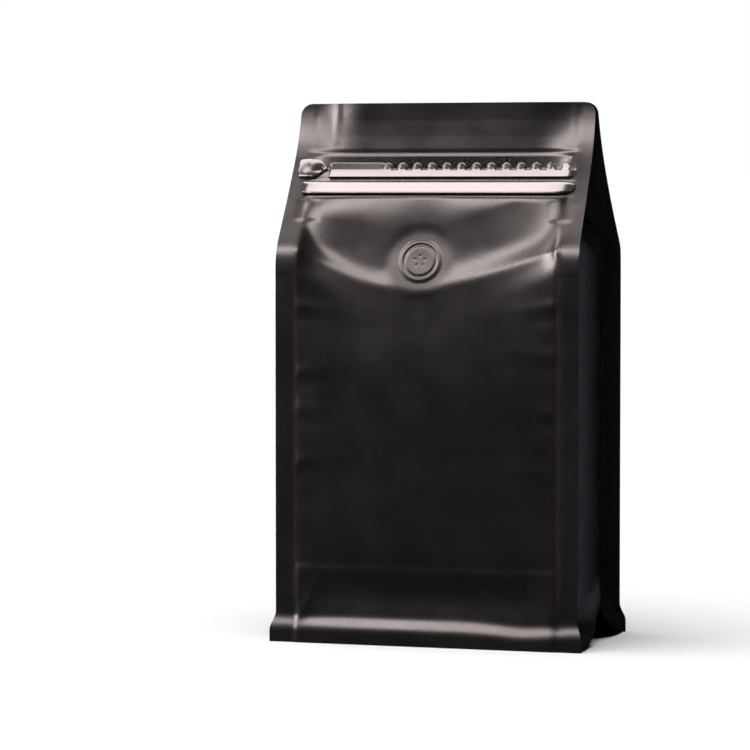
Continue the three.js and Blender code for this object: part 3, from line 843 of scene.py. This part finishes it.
class TEAPOUCH_OT_closing_ridge(bpy.types.Operator):
    """Builds the closing ridge, the film stretched over the zipper's bead"""
    bl_idname = "tea_pouch.closing_ridge"
    bl_label = "Closing ridge"

    def execute(self, context):
        closure = context.scene.tea_pouch_closure
        form = PouchForm(context.scene.tea_pouch_body)
        low = (-TRACK_HALF, TRACK_LOW.y, TRACK_FOOT)
        high = (TRACK_HALF, TRACK_HIGH.y, TRACK_HEAD)
        piece = cut_blank("closing_ridge", low, high, *TRACK_FACTORS)
        middle = (TRACK_FOOT + TRACK_HEAD) / 2
        half = (TRACK_HEAD - TRACK_FOOT) / 2

        def narrowing(x):
            left = unit((x + TRACK_HALF) / TRACK_END)
            right = unit((TRACK_HALF - x) / TRACK_POINT)
            ends = np.sqrt(1 - (1 - left) ** 2) * np.sqrt(1 - (1 - right) ** 2)
            return mix(TRACK_NARROWEST, 1.0, ends)

        def outline(x, z):
            return x, middle + (z - middle) * narrowing(x)

        def proud(x, z):
            narrow = narrowing(x)
            around = np.clip((z - middle) / (half * narrow), -1.0, 1.0)
            return closure.track_rise * np.sqrt(1 - around ** TRACK_POWER) * narrow - TRACK_SINK

        lay_on_front(piece, form, proud, outline)
        film = closure_film("glossy_black_bead", closure, roughness=0.20, gloss=1.0)
        finish_piece(piece, film, "zipper_track")
        return {"FINISHED"}


STRIP_LEFT = -51 * MM
STRIP_RIGHT = 61.8 * MM
STRIP_FOOT = 202 * MM
STRIP_HEAD = 211 * MM
TOOTH_FIRST = -26.5 * MM
TOOTH_FOOT = 205.2 * MM
TOOTH_HEAD = 208.2 * MM
TOOTH_LEAST = 0.15 * MM  # between two teeth the edge falls off over this
STRIP_EDGE = 0.5 * MM
STRIP_ENDS = (1 * MM, 4 * MM)  # the strip rises over this at its left and right end
STRIP_SINK = 0.03 * MM  # and starts this far under the film
STRIP_FACTORS = ((4, 60), (40,))


class TEAPOUCH_OT_tear_strip(bpy.types.Operator):
    """Builds the tear strip with its embossed row of teeth"""
    bl_idname = "tea_pouch.tear_strip"
    bl_label = "Tear strip"

    def execute(self, context):
        closure = context.scene.tea_pouch_closure
        form = PouchForm(context.scene.tea_pouch_body)
        low = (STRIP_LEFT, STRIP_LOW.y, STRIP_FOOT)
        high = (STRIP_RIGHT, STRIP_HIGH.y, STRIP_HEAD)
        piece = cut_blank("embossed_strip", low, high, *STRIP_FACTORS)

        def proud(x, z):
            along = np.mod(x - TOOTH_FIRST, closure.tooth_pitch) - closure.tooth_width / 2
            dome = np.sqrt(unit(1 - (2 * along / closure.tooth_width) ** 2))
            dome = np.where(x < TOOTH_FIRST, 1.0, dome)
            head = TOOTH_LEAST + (TOOTH_HEAD - TOOTH_FOOT) * dome
            falling = unit(1 - (z - TOOTH_FOOT) / head)
            foot = ramp(z, STRIP_FOOT - STRIP_EDGE / 2, STRIP_FOOT + STRIP_EDGE)
            ends = ramp(x, STRIP_LEFT, STRIP_LEFT + STRIP_ENDS[0])
            ends = ends * ramp(-x, -STRIP_RIGHT, -STRIP_RIGHT + STRIP_ENDS[1])
            return (closure.strip_rise * falling * foot + STRIP_SINK) * ends - STRIP_SINK

        lay_on_front(piece, form, proud)
        film = closure_film("glossy_black_strip", closure, roughness=0.22, gloss=0.9)
        finish_piece(piece, film, "tear_strip")
        return {"FINISHED"}


TAB_X = -64.8 * MM
TAB_SHOULDER_X = -57.5 * MM
TAB_TIP_X = -52.2 * MM
TAB_MID_Z = 206.3 * MM
TAB_HALF = 4.2 * MM
TAB_TIP_HALF = 0.5 * MM
TAB_CORNER = 1.5 * MM
TAB_POINT_POWER = 1.6
TAB_TILT = 0.15  # the tab leans back more than the film under it
TAB_PILLOW = (0.75, 4)  # its sides are lower by this share, and the power of its section
TAB_END = (-0.3 * MM, 1.2 * MM)  # its left end rises over this,
TAB_END_SHARE = 0.4  # from this share of the height
TAB_CRUMPLE = (0.12 * MM, 1.1 * MM, 1.4 * MM)  # depth, and spacing along and up
TAB_FACTORS = ((40,), (26,))


class TEAPOUCH_OT_pull_tab(bpy.types.Operator):
    """Builds the arrow-shaped pull tab of the tear strip"""
    bl_idname = "tea_pouch.pull_tab"
    bl_label = "Pull tab"

    def execute(self, context):
        closure = context.scene.tea_pouch_closure
        form = PouchForm(context.scene.tea_pouch_body)
        low = (TAB_X, TAB_LOW.y, TAB_MID_Z - TAB_HALF)
        high = (TAB_TIP_X, TAB_HIGH.y, TAB_MID_Z + TAB_HALF)
        piece = cut_blank("arrow_tab", low, high, *TAB_FACTORS)

        def half_width(x):
            into_corner = np.clip(TAB_X + TAB_CORNER - x, 0.0, TAB_CORNER)
            corner = TAB_CORNER - np.sqrt(TAB_CORNER ** 2 - into_corner ** 2)
            closing = unit((x - TAB_SHOULDER_X) / (TAB_TIP_X - TAB_SHOULDER_X))
            return mix(TAB_HALF - corner, TAB_TIP_HALF, closing ** TAB_POINT_POWER)

        def outline(x, z):
            return x, TAB_MID_Z + (z - TAB_MID_Z) / TAB_HALF * half_width(x)

        def proud(x, z):
            sideways = (z - TAB_MID_Z) / half_width(x)
            lower, power = TAB_PILLOW
            pillow = 1 - lower * np.abs(sideways) ** power
            end = ramp(x, TAB_X + TAB_END[0], TAB_X + TAB_END[1])
            depth, along, up = TAB_CRUMPLE
            crumple = depth * np.sin(x / along) * np.cos(z / up)
            tilt = TAB_TILT * (TAB_MID_Z - z)
            return (closure.tab_thick * pillow + crumple + tilt) * mix(TAB_END_SHARE, 1.0, end)

        lay_on_front(piece, form, proud, outline)
        film = closure_film("glossy_black_tab", closure, roughness=0.20, gloss=0.9)
        finish_piece(piece, film, "pull_tab")
        return {"FINISHED"}


VALVE_SPIN_STEPS = 96
VALVE_RING_STEPS = 34
VALVE_LIFT = 0.10 * MM
VALVE_SKIRT = 1.2 * MM  # the disc's side reaches this far down into the film
FLANGE_START = 0.80  # shares of the radius: where the flange starts to fall,
GROOVE = (0.70, 0.06)  # where the groove lies and its width,
DISH_END = 0.6  # and where the dished middle ends
GROOVE_DEPTH = 0.7  # depths as shares of the rise
DISH_DEPTH = 0.18
PIN_CIRCLE = 0.22  # the pin holes stand on this share of the radius
PIN_TURN = 0.25  # turned by this share of a step
PIN_DEPTH = 0.14 * MM
PIN_WIDTH = 0.40 * MM


def valve_profile(radius, valve):
    """Height of the film over the valve at a radius: low flange, ring groove, flat disc."""
    share = radius / valve.radius
    flange = valve.rise * (1 - ramp(share, FLANGE_START, 1.0))
    groove = valve.rise * GROOVE_DEPTH * bell(share - GROOVE[0], GROOVE[1])
    dish = valve.rise * DISH_DEPTH * (1 - ramp(share, 0.0, DISH_END))
    return flange - groove - dish


class TEAPOUCH_OT_valve(bpy.types.Operator):
    """Builds the round one-way valve under its film"""
    bl_idname = "tea_pouch.valve"
    bl_label = "Valve"

    def execute(self, context):
        valve = context.scene.tea_pouch_valve
        form = PouchForm(context.scene.tea_pouch_body)
        deselect_all()
        bpy.ops.mesh.primitive_circle_add(
            vertices=VALVE_SPIN_STEPS, radius=valve.radius, fill_type="NGON")
        piece = just_added("valve_disc")
        set_mode("EDIT")
        bpy.ops.mesh.select_mode(type="FACE")
        bpy.ops.mesh.select_all(action="SELECT")
        for _ in range(VALVE_RING_STEPS):
            bpy.ops.mesh.inset(thickness=valve.radius / (VALVE_RING_STEPS + 1))
        bpy.ops.mesh.poke()
        set_mode("OBJECT")
        points = points_of(piece)
        radius = np.hypot(points[:, 0], points[:, 1])
        points[:, 2] = valve_profile(radius, valve)
        for number in range(valve.pin_holes):
            turn = math.tau * (number + PIN_TURN) / valve.pin_holes
            circle = PIN_CIRCLE * valve.radius
            hole = (circle * math.cos(turn), circle * math.sin(turn))
            away = np.hypot(points[:, 0] - hole[0], points[:, 1] - hole[1])
            points[:, 2] -= PIN_DEPTH * bell(away, PIN_WIDTH)
        set_points(piece, points)
        set_mode("EDIT")
        select_edges(piece, lambda edge: edge.is_boundary)
        bpy.ops.mesh.extrude_region_move(TRANSFORM_OT_translate={"value": (0, 0, -VALVE_SKIRT)})
        bpy.ops.mesh.edge_face_add()
        bpy.ops.mesh.select_all(action="SELECT")
        bpy.ops.mesh.normals_make_consistent(inside=False)
        set_mode("OBJECT")
        centre_x, centre_z = np.array([VALVE_X]), np.array([VALVE_Z])
        normal = Vector(front_normals(form, centre_x, centre_z)[0])
        right = (Vector((1, 0, 0)) - normal * normal.x).normalized()
        up = normal.cross(right)
        turn = Matrix((right, up, normal)).transposed().to_4x4()
        centre = Vector(front_points(form, centre_x, centre_z)[0])
        piece.data.transform(Matrix.Translation(centre + normal * VALVE_LIFT) @ turn)
        body = context.scene.tea_pouch_body
        film = satin_film("matt_black_valve_film", body.film_colour, body.film_colour, *MATT)
        finish_piece(piece, film, "valve")
        return {"FINISHED"}


# ---- stage
SUBJECT = Vector((0.0, 0.0, 0.115))
CAMERA_PLACE = Vector((0.4471, -1.5144, 0.197))
CAMERA_HEADING = math.radians(17.64)
CAMERA_PITCH = math.radians(-2.96)
SENSOR_WIDTH = 36.0
IMAGE_WIDTH = 750
FOCAL_PIXELS = 3598.0
CLIP_END = 200.0
FLOOR_RADIUS = 40.0
FLOOR_STEPS = 96
WASH_SPREAD = math.radians(70)  # so wide that the contact shadow is soft
WASH_TILT = (math.radians(16), math.radians(-8), 0)

# The direction of a mirrored light is given by its height angle over the floor in front and
# by its angle to the right of the front's own plane of reflection.
MIRROR_SIDE = -16.4
SOFTBOX_DISTANCE = 3.0
# name: (height angle, side angle, half width, half height, share of the power, tint)
SOFTBOXES = {
    "softbox_front": (41.0, 0.0, 20.0, 6.5, 2.4, "#fff0ee"),
    "softbox_left": (36.0, -34.0, 10.0, 12.0, 3.2, "#fff0ee"),
    "softbox_overhead": (90.0, 0.0, 32.0, 18.0, 1.5, "#fff0ee"),
    "card_front": (18.0, 0.0, 20.0, 12.0, 0.010, "#fff0ee"),
    "card_left": (4.0, -38.0, 16.0, 16.0, 0.05, "#fff4f0"),
    "card_side": (6.0, 142.0, 18.0, 16.0, 0.045, "#dfe4ff"),
    "softbox_back": (128.0, -24.0, 20.0, 14.0, 0.8, "#fff4f2"),
}


def mirror_direction(height_angle, side_angle):
    up = math.radians(height_angle)
    side = math.radians(MIRROR_SIDE + side_angle)
    ahead = math.cos(side)
    return Vector((math.sin(side), -ahead * math.cos(up), abs(ahead) * math.sin(up)))


def face_subject(light, height_angle, side_angle):
    """Turns a light at a mirror direction to the subject, with its height along the height
    angle and its width along the side angle."""
    toward_light = mirror_direction(height_angle, side_angle)
    up = math.radians(height_angle)
    along_height = Vector((0.0, math.sin(up), math.cos(up)))
    along_width = along_height.cross(toward_light).normalized()
    axes = Matrix((along_width, toward_light.cross(along_width), toward_light)).transposed()
    light.rotation_euler = axes.to_euler()


def add_softbox(name, radiance):
    """A rectangular light that only shows as a reflection."""
    height_angle, side_angle, half_width, half_height, share, tint = SOFTBOXES[name]
    deselect_all()
    place = SUBJECT + mirror_direction(height_angle, side_angle) * SOFTBOX_DISTANCE
    bpy.ops.object.light_add(type="AREA", location=place)
    light = just_added(name)
    light.data.shape = "RECTANGLE"
    light.data.size = 2 * SOFTBOX_DISTANCE * math.tan(math.radians(half_width))
    light.data.size_y = 2 * SOFTBOX_DISTANCE * math.tan(math.radians(half_height))
    light.data.energy = radiance * share * math.pi * light.data.size * light.data.size_y
    light.data.color = colour(tint)[:3]
    light.visible_diffuse = False
    light.visible_camera = False
    face_subject(light, height_angle, side_angle)


def add_camera():
    deselect_all()
    bpy.ops.object.camera_add(location=CAMERA_PLACE)
    camera = just_added("photo_camera")
    heading = Matrix.Rotation(CAMERA_HEADING, 4, "Z")
    pitch = Matrix.Rotation(math.radians(90) + CAMERA_PITCH, 4, "X")
    camera.rotation_euler = (heading @ pitch).to_euler()
    camera.data.sensor_width = SENSOR_WIDTH
    camera.data.lens = FOCAL_PIXELS / IMAGE_WIDTH * SENSOR_WIDTH
    camera.data.clip_end = CLIP_END
    bpy.context.scene.camera = camera


def add_floor(stage):
    deselect_all()
    bpy.ops.mesh.primitive_circle_add(
        vertices=FLOOR_STEPS, radius=FLOOR_RADIUS, fill_type="NGON")
    floor = just_added("studio_floor")
    material = new_material("painted_studio_floor")
    tree = material.node_tree
    shader = add_node(tree, "BsdfDiffuse", {"Color": stage.floor_colour})
    add_node(tree, "OutputMaterial", links={"Surface": shader.outputs["BSDF"]})
    floor.data.materials.append(material)
    floor.visible_glossy = False


def add_backdrop(stage):
    """A white surround that only the camera sees, so the black film mirrors a dark room."""
    world = bpy.data.worlds.new("white_surround")
    bpy.context.scene.world = world
    world.use_nodes = True
    tree = world.node_tree
    tree.nodes.clear()
    glow = add_node(tree, "Background", {"Color": (1, 1, 1, 1), "Strength": 1.0})
    add_node(tree, "OutputWorld", links={"Surface": glow.outputs["Background"]})
    for kind in ("diffuse", "glossy", "transmission", "scatter"):
        setattr(world.cycles_visibility, kind, False)


class TEAPOUCH_OT_stage(bpy.types.Operator):
    """Sets up the pale floor, the soft lights and the camera"""
    bl_idname = "tea_pouch.stage"
    bl_label = "Stage"

    def execute(self, context):
        stage = context.scene.tea_pouch_stage
        add_camera()
        add_floor(stage)
        add_backdrop(stage)
        deselect_all()
        bpy.ops.object.light_add(type="SUN", location=(0, 0, 3))
        wash = just_added("floor_wash")
        wash.data.energy = stage.overhead
        wash.data.angle = WASH_SPREAD
        wash.rotation_euler = WASH_TILT
        wash.visible_glossy = False
        for name in SOFTBOXES:
            add_softbox(name, stage.softbox)
        bpy.context.scene.view_settings.view_transform = "Standard"
        return {"FINISHED"}


class TEAPOUCH_PT_panel(bpy.types.Panel):
    bl_idname = "TEAPOUCH_PT_panel"
    bl_label = "Tea pouch"
    bl_space_type = "VIEW_3D"
    bl_region_type = "UI"
    bl_category = "Tea pouch"

    def draw(self, context):
        for group in SETTINGS:
            settings = getattr(context.scene, group)
            box = self.layout.box()
            for name in settings.bl_rna.properties.keys():
                if name not in ("rna_type", "name"):
                    box.prop(settings, name)
        for operator in OPERATORS:
            self.layout.operator(operator.bl_idname)


OPERATORS = (
    TEAPOUCH_OT_stage,
    TEAPOUCH_OT_film,
    TEAPOUCH_OT_closing_ridge,
    TEAPOUCH_OT_tear_strip,
    TEAPOUCH_OT_pull_tab,
    TEAPOUCH_OT_valve,
)
SETTINGS = {
    "tea_pouch_body": BodySettings,
    "tea_pouch_closure": ClosureSettings,
    "tea_pouch_valve": ValveSettings,
    "tea_pouch_stage": StageSettings,
}


def register():
    for cls in (*SETTINGS.values(), *OPERATORS, TEAPOUCH_PT_panel):
        bpy.utils.register_class(cls)
    for name, cls in SETTINGS.items():
        setattr(bpy.types.Scene, name, PointerProperty(type=cls))


def unregister():
    for name in SETTINGS:
        delattr(bpy.types.Scene, name)
    for cls in reversed((*SETTINGS.values(), *OPERATORS, TEAPOUCH_PT_panel)):
        bpy.utils.unregister_class(cls)


def main():
    register()
    bpy.ops.tea_pouch.stage()
    bpy.ops.tea_pouch.film()
    bpy.ops.tea_pouch.closing_ridge()
    bpy.ops.tea_pouch.tear_strip()
    bpy.ops.tea_pouch.pull_tab()
    bpy.ops.tea_pouch.valve()


if __name__ == "__main__":
    main()
